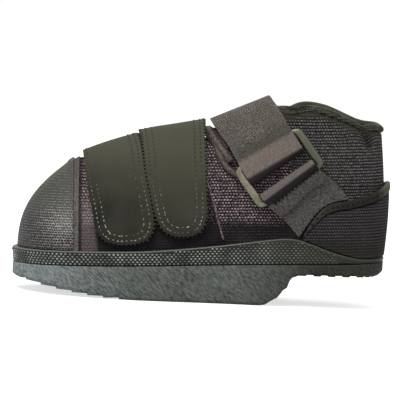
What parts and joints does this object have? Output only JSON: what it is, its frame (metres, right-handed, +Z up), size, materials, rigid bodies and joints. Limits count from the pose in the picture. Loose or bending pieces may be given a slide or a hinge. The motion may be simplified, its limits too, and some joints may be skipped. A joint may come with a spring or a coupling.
{
  "type": "post operative shoe",
  "caption": "Left heel-relief post-operative shoe: wedge sole with a raised heel shelf, mesh upper, padded straps over a tongue and a webbing ankle strap through a metal ring.",
  "frame": {"origin": "middle of the box round the whole shoe, on the plane of the flat underside of the wedge", "axes": "+X towards the heel, -Y towards the outer side with the ring, +Z up"},
  "size_m": [0.2882, 0.1102, 0.1587],
  "materials": {
    "sole_rubber": "matt moulded rubber, finely streaked",
    "cup_rubber": "satin moulded rubber with a dotted band",
    "mesh_fabric": "knitted mesh",
    "cap_mesh": "open mesh with a folded hem",
    "strap_felt": "dense felted cloth with pinked edges",
    "webbing": "ribbed webbing",
    "lining": "brushed lining",
    "bound_edge": "bound and rolled cloth edge",
    "collar_cloth": "smooth padded cloth",
    "ring_metal": "coated wire"
  },
  "bodies": {
    "root": {"outsole": "sole_rubber", "cup": "cup_rubber", "insole": "lining", "upper": "mesh_fabric", "toe_cap": "cap_mesh", "tongue": "lining", "collar": "collar_cloth", "strap_front": "strap_felt", "strap_rear": "strap_felt", "instep_pad": "bound_edge", "ring": "ring_metal", "ankle_strap": "webbing", "ring_anchor": "webbing", "heel_counter": "mesh_fabric", "counter_binding": "bound_edge"}
  },
  "joints": []
}
